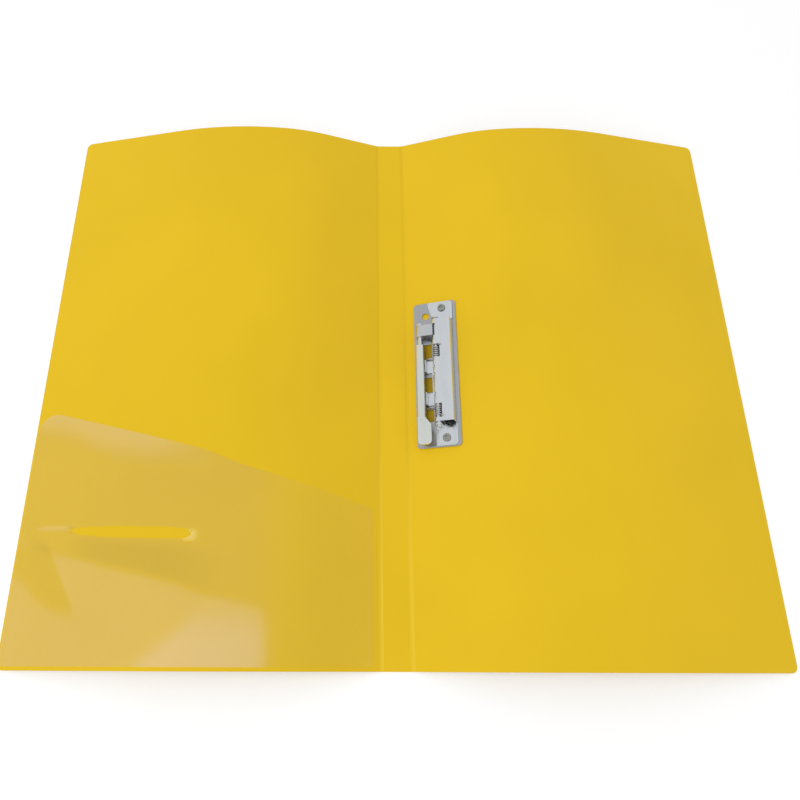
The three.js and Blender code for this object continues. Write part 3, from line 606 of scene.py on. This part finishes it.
def film_material(pocket, top_edge, slope):
    """Clear film as painted light: reflection thin beside the spine, bright over the slack lower part."""
    m = Nodes("Clear film with painted reflection")
    cloud = m.noise(scale=11.0, detail=3.0)
    waver = m.blend_values(m.noise(scale=16.0, detail=2.0), 0, 1, -pocket.waver, pocket.waver)
    reflection_under_mouth = m.product((
        ((slope, -1), -top_edge, -top_edge + MOUTH_BAND, "wavers", "falls"),
        ((-1, 0), 0.100, 0.155)), waver)
    marks = {name: m.product(edges, waver) for name, (_, edges) in FILM_LIGHT_MARKS.items()}
    tip_highlight = m.product(TIP_HIGHLIGHT_EDGES, waver)
    weighed = [(marks[name], weight) for name, (weight, _) in FILM_LIGHT_MARKS.items()]
    parts = [(reflection_under_mouth, MOUTH_WEIGHT), *weighed, (cloud, REFLECTION_CLOUD)]
    painted_reflection = m.total(parts, REFLECTION_STOPS[1] - REFLECTION_CLOUD / 2)
    clear = m.blend_values(m.side((-1, 0), 0.045, 0.100), 0, 1, SPINE_SHARE, 1)
    thin = m.both(m.ramp(painted_reflection, list(zip(REFLECTION_STOPS, REFLECTION_ALPHAS))), clear)
    m.link(m.total([(marks["weld highlight"], WELD_HIGHLIGHT_ALPHA), (tip_highlight, TIP_HIGHLIGHT_ALPHA)], thin), m.shader.inputs["Alpha"])
    looks = (pocket.shadow, pocket.painted_reflection, scaled(pocket.glare, SLACK_SHARE), pocket.glare)
    reflected = m.ramp(painted_reflection, [(place, tuple(look)) for place, look in zip(REFLECTION_STOPS, looks)])
    at_tip = m.blend_values(tip_highlight, 0, TIP_HIGHLIGHT_START, 0, 1)
    m.link(m.mixed(at_tip, reflected, pocket.tip_highlight), m.shader.inputs["Base Color"])
    m.set(Roughness=0.16, Specular_IOR_Level=0.5)
    return m.material


def clip_box(m, clip, sheet, left, right, top, low, high, soft=0.0001):
    """1 within a box and 0 outside, in the frame of the clip on its sloping strip."""
    turn = strip_angle(sheet)
    across = (math.cos(turn), 0, math.sin(turn))
    up = (-math.sin(turn), 0, math.cos(turn))
    start = Vector((sheet.spine_width / 2, 0, sheet.thickness))
    edge = start.dot(Vector(across)) + clip.crease
    ground = start.dot(Vector(up))
    result = m.side(across, edge + left - soft, edge + left)
    ends = (
        (across, edge + right), (up, ground + top), ((0, 1), clip.shift + high), ((0, -1), -clip.shift - low))
    for direction, end in ends:
        result = m.both(result, m.side(direction, end, end + soft, falling=True))
    return result


def with_painted_shade(m, tint, mask, kept):
    """A colour with painted shade: it keeps only a share of itself where the mask is 1."""
    return m.times(tint, m.blend_values(mask, 0, 1, 1, kept))


def plated_material(name, tint, roughness, hollow=None, strap=None):
    """Plating with faint rolling marks and a little uneven gloss.

    It may carry painted shade in the jaw's hollow, given as the clip, the sheet and the hollow's upper end,
    and then also a painted highlight that makes the strap brighter by a factor.
    """
    m = Nodes(name)
    base = linear(tint)
    wear = m.noise(scale=240.0, detail=4.0, stretch=(1, 0.2, 1))
    worn = m.ramp(wear, [(0.3, scaled(base, 0.95)), (0.7, scaled(base, 1.02))])
    # Painted highlight on the strap
    if strap:
        clip, sheet, _ = hollow
        over, under = (
            clip_box(m, clip, sheet, 0, clip.strap_right, top, clip.strap_low, clip.strap_high)
            for top in (clip.strap_top, clip.strap_foot))
        worn = m.times(worn, m.total([(over, strap - 1), (under, 1 - strap)], 1.0))
    # Painted shade in the jaw's hollow
    if hollow:
        clip, sheet, high = hollow
        mask = clip_box(
            m, clip, sheet, clip.hollow_left, clip.hollow_right, clip.hollow_top, -clip.hollow_low, high)
        worn = with_painted_shade(m, worn, mask, clip.inside)
    m.link(worn, m.shader.inputs["Base Color"])
    gloss = m.noise(scale=500.0, detail=3.0, stretch=(1, 0.15, 1))
    m.link(m.ramp(gloss, [(0.3, roughness * 0.8), (0.7, roughness * 1.3)]), m.shader.inputs["Roughness"])
    m.set(Metallic=1.0)
    return m.material


# Operators


class FOLDER_OT_sheet(bpy.types.Operator):
    """Build the creased sheet: front cover, spine panel and back cover"""

    bl_idname = "folder.sheet"
    bl_label = "Sheet"

    def execute(self, context):
        sheet = context.scene.folder_sheet
        material = sheet_material(sheet, context.scene.folder_clip)
        for side, name, body in ((-1, "front_cover", "front"), (1, "back_cover", "back")):
            bm = flat_panel(sheet.groove, sheet.cover_width, sheet.cover_length / 2, sheet.corner)
            cut_across(bm, 0, spread(sheet.groove, sheet.cover_width, STEP_ACROSS))
            cut_along(bm, sheet)
            bend_over_cover(bm, sheet, side)
            piece = finish_piece(bm, name + "_sheet", material, body, name)
            thicken(piece, sheet.thickness, sheet.rim)
        half = sheet.spine_width / 2 - sheet.groove
        bm = flat_panel(-half, half, sheet.cover_length / 2, 0)
        cut_along(bm, sheet)
        bmesh.ops.translate(bm, verts=bm.verts[:], vec=(0, 0, sheet.thickness))
        piece = finish_piece(bm, "spine_sheet", material, "spine", "spine_panel")
        thicken(piece, sheet.thickness, sheet.rim)
        creased = crease_painted_light_material(sheet)
        for side, name, body in ((-1, "front_crease", "front"), (1, "back_crease", "back")):
            self.crease(sheet, side, name, body, creased)
        return {"FINISHED"}

    def crease(self, sheet, side, name, body, material):
        """A thin web that joins a cover to the spine, bends between them and lies over their rounded rims."""
        place = side * sheet.spine_width / 2
        reach = sheet.groove + sheet.rim
        bm = flat_panel(-reach, reach, sheet.cover_length / 2, 0)
        cut_across(bm, 0, spread(-reach, reach, reach / WEB_STEPS))
        cut_along(bm, sheet)
        turn = strip_angle(sheet)
        for vert in bm.verts:
            x, y = vert.co.x, vert.co.y
            dip = -sheet.crease_depth * math.cos(math.pi * x / (2 * reach)) ** 2
            out = max(0.0, x)
            rise = out * math.sin(turn)
            across = min(0.0, x) + out * math.cos(turn)
            vert.co = (place + side * across, y, sheet.thickness + rise + dip)
        if side < 0:
            bmesh.ops.reverse_faces(bm, faces=bm.faces[:])
        piece = finish_piece(bm, name, material, None)
        thicken(piece, sheet.thickness * WEB_SHARE, THIN_RIM)
        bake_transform(piece)


class FOLDER_OT_pocket(bpy.types.Operator):
    """Build the clear pocket with its slanted mouth and card slit"""

    bl_idname = "folder.pocket"
    bl_label = "Pocket"

    def execute(self, context):
        sheet = context.scene.folder_sheet
        pocket = context.scene.folder_pocket
        low = -sheet.cover_length / 2 + pocket.bottom_margin
        s0 = pocket.crease_margin
        s1 = sheet.cover_width - pocket.outer_margin
        top0 = -sheet.cover_length / 2 + pocket.height_spine
        top1 = -sheet.cover_length / 2 + pocket.height_edge
        bm, verts = flat_outline([(s0, low), (s1, low), (s1, top1), (s0, top0)])
        for rounded, radius in ((verts[2:3], pocket.mouth_corner), (verts[:2], pocket.corner)):
            round_corners(bm, rounded, radius, FILM_CORNER_STEPS)
        slit_y = -sheet.cover_length / 2 + pocket.slit_height
        slit1 = sheet.cover_width - pocket.slit_from_edge
        slit0 = slit1 - pocket.slit_length
        half = pocket.slit_width / 2
        cut_across(bm, 0, spread(s0, s1, STEP_ACROSS) + [slit0, slit1])
        cut_across(bm, 1, spread(low, top1, STEP_FILM) + [slit_y - half, slit_y + half])
        centres = [(face, face.calc_center_median()) for face in bm.faces]
        inside = [
            face for face, centre in centres if slit0 < centre.x < slit1 and abs(centre.y - slit_y) < half]
        bmesh.ops.delete(bm, geom=inside, context="FACES")
        for vert in bm.verts:
            within = slit0 - SAME_PLACE <= vert.co.x <= slit1 + SAME_PLACE
            if within and abs(abs(vert.co.y - slit_y) - half) < SAME_PLACE:
                across = (vert.co.x - slit0) / (slit1 - slit0)
                power = pocket.blunt if across < 0.5 else 2
                open_share = max(0.0, 1 - abs(2 * across - 1) ** power) ** (1 / power)
                gape = SLIT_END + (1 - SLIT_END) * open_share
                vert.co.y = slit_y + math.copysign(half, vert.co.y - slit_y) * gape
        middle = (slit0 + slit1) / 2
        for vert in bm.verts:
            near = max(0.0, 1 - abs(vert.co.y - slit_y) / pocket.slant_reach)
            along_slit = max(-1.0, min(1.0, (vert.co.x - middle) / (pocket.slit_length / 2)))
            vert.co.y += pocket.slant * along_slit * near * min(1.0, (s1 - vert.co.x) / pocket.slit_from_edge)
        for vert in bm.verts:
            mouth = top0 + (top1 - top0) * (vert.co.x - s0) / (s1 - s0)
            near = max(0.0, min(1.0, 1 - (mouth - vert.co.y) / pocket.mouth_reach))
            share = max(0.0, min(1.0, (vert.co.x - pocket.mouth_from) / pocket.mouth_reach))
            vert.co.y += pocket.mouth_rise * near * share * share * (3 - 2 * share)
        bend_over_cover(bm, sheet, -1, pocket.lift + FILM_FACE * pocket.film)
        inner = on_cover(sheet, -1, s0, top0, 0)
        outer = on_cover(sheet, -1, s1, top1, 0)
        slope = (outer.y - inner.y) / (outer.x - inner.x)
        material = film_material(pocket, inner.y - slope * inner.x, slope)
        piece = finish_piece(bm, "pocket_sheet", material, "front", "pocket_film")
        thicken(piece, pocket.film * FILM_DEPTH, THIN_RIM)
        return {"FINISHED"}


class FOLDER_OT_clip(bpy.types.Operator):
    """Finish the lever clip's plated steel pieces and its springs"""

    bl_idname = "folder.clip"
    bl_label = "Clip"

    def execute(self, context):
        clip = context.scene.folder_clip
        sheet = context.scene.folder_sheet
        # Boxes of painted shade: the jaw's hollow, and the base plate under it up to the panel slot's upper
        # end
        jaw = (clip, sheet, -clip.hollow_high)
        plate = (clip, sheet, -clip.slot_high)
        groups = (
            (plated_material("Bright plating", clip.plating, roughness=0.28),
             ("lever_pin", "push_plate", "jaw_pin", "upper_bracket", "lower_bracket")),
            (plated_material("Jaw plating with painted shade", clip.plating, roughness=0.28, hollow=jaw), ("jaw_plate",)),
            (plated_material("Lever plating with painted reflection", clip.lever, roughness=0.28), ("lever",)),
            (plated_material("Base plating with painted shade and highlight", clip.base, roughness=0.32, hollow=plate, strap=clip.strap),
             ("base_plate",)),
            (plated_material("Rivet plating", clip.rivet, roughness=0.35), ("upper_rivet", "lower_rivet")))
        for material, names in groups:
            for name in names:
                self.soften(name, material, clip.edge, "plated")
        wire = plated_material("Spring wire", clip.wire, roughness=0.25)
        for name, direction in (("upper_spring", 1), ("lower_spring", -1)):
            self.wind(name, wire, clip.wire_width, direction)
        return {"FINISHED"}

    def copied(self, name):
        """A node's mesh with its doubled points merged."""
        bm = bmesh.new()
        bm.from_mesh(frame["nodes"][name].data)
        bmesh.ops.remove_doubles(bm, verts=bm.verts[:], dist=SAME_PLACE)
        return bm

    def soften(self, name, material, width, slot):
        """Copies a node with its stamped edges rounded."""
        bm = self.copied(name)
        bmesh.ops.dissolve_limit(
            bm, angle_limit=math.radians(JOINED_EDGE), verts=bm.verts[:], edges=bm.edges[:])
        piece = finish_piece(bm, name + "_metal", material, frame["nodes"][name]["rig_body"], name)
        soften_edges(piece, "Edges", width, METAL_EDGE)

    def wind(self, name, material, wire, direction):
        """Copies a spring as a smooth piece that stays where it stands."""
        bm = self.copied(name)
        piece = finish_piece(bm, name + "_metal", material, None, name)
        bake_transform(piece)


class FOLDER_OT_stage(bpy.types.Operator):
    """Set up the floor, the light and the camera"""

    bl_idname = "folder.stage"
    bl_label = "Stage"

    def execute(self, context):
        stage = context.scene.folder_stage
        self.floor(stage)
        self.light(context, stage)
        self.camera(context, stage)
        context.scene.view_settings.view_transform = "Standard"
        return {"FINISHED"}

    def floor(self, stage):
        bm = bmesh.new()
        bmesh.ops.create_grid(bm, x_segments=1, y_segments=1, size=stage.floor_size)
        m = Nodes("Floor")
        m.set(Base_Color=(*stage.floor, 1), Roughness=0.9, Specular_IOR_Level=0.1)
        m.set(Emission_Color=(stage.lift, stage.lift, stage.lift, 1))
        m.link(m.add("ShaderNodeLightPath").outputs["Is Camera Ray"], m.shader.inputs["Emission Strength"])
        floor = finish_piece(bm, "floor", m.material, None)
        floor.data.transform(Matrix.Translation((0, 0, -stage.floor_gap)))

    def light(self, context, stage):
        world = bpy.data.worlds.new("Sky")
        context.scene.world = world
        world.use_nodes = True
        background = world.node_tree.nodes["Background"]
        background.inputs["Color"].default_value = (1, 1, 1, 1)
        background.inputs["Strength"].default_value = stage.sky
        lamp = bpy.data.lights.new("Key", "AREA")
        lamp.energy = stage.key
        lamp.shape = "RECTANGLE"
        lamp.size = stage.key_size
        lamp.size_y = stage.key_size
        key = bpy.data.objects.new("Key", lamp)
        context.scene.collection.objects.link(key)
        key.visible_glossy = False
        key.location = stage.key_place
        key.rotation_euler = (-key.location).to_track_quat("-Z", "Y").to_euler()

    def camera(self, context, stage):
        lens = bpy.data.cameras.new("Camera")
        lens.sensor_width = 36
        lens.lens = stage.focal
        lens.shift_x = stage.shift_x
        lens.shift_y = stage.shift_y
        lens.clip_start = 0.01
        camera = bpy.data.objects.new("Camera", lens)
        context.scene.collection.objects.link(camera)
        forward = Vector((
            math.sin(stage.yaw) * math.cos(stage.tilt), math.cos(stage.yaw) * math.cos(stage.tilt),
            -math.sin(stage.tilt)))
        right = Vector((math.cos(stage.yaw), -math.sin(stage.yaw), 0))
        up = right.cross(forward)
        rolled_right = right * math.cos(stage.roll) + up * math.sin(stage.roll)
        rolled_up = up * math.cos(stage.roll) - right * math.sin(stage.roll)
        rows = zip(rolled_right, rolled_up, -forward, stage.camera_place)
        camera.matrix_world = Matrix((*rows, (0, 0, 0, 1)))
        context.scene.camera = camera


class FOLDER_PT_panel(bpy.types.Panel):
    """Lists the steps that build the folder"""

    bl_idname = "FOLDER_PT_panel"
    bl_label = "Clip file folder"
    bl_space_type = "VIEW_3D"
    bl_region_type = "UI"
    bl_category = "Folder"

    def draw(self, context):
        for group, operator in (
                ("folder_sheet", "folder.sheet"), ("folder_pocket", "folder.pocket"),
                ("folder_clip", "folder.clip"), ("folder_stage", "folder.stage")):
            box = self.layout.box()
            settings = getattr(context.scene, group)
            for key in settings.__annotations__:
                box.prop(settings, key)
            box.operator(operator)


SETTINGS = {
    "folder_sheet": SheetSettings, "folder_pocket": PocketSettings,
    "folder_clip": ClipSettings, "folder_stage": StageSettings,
}
OPERATORS = (FOLDER_OT_sheet, FOLDER_OT_pocket, FOLDER_OT_clip, FOLDER_OT_stage)


def register():
    for name, group in SETTINGS.items():
        bpy.utils.register_class(group)
        setattr(bpy.types.Scene, name, PointerProperty(type=group))
    for operator in OPERATORS:
        bpy.utils.register_class(operator)
    bpy.utils.register_class(FOLDER_PT_panel)


def unregister():
    bpy.utils.unregister_class(FOLDER_PT_panel)
    for operator in reversed(OPERATORS):
        bpy.utils.unregister_class(operator)
    for name, group in SETTINGS.items():
        delattr(bpy.types.Scene, name)
        bpy.utils.unregister_class(group)


def main():
    register()
    bpy.ops.folder.sheet()
    bpy.ops.folder.pocket()
    bpy.ops.folder.clip()
    bpy.ops.folder.stage()


if __name__ == "__main__":
    main()
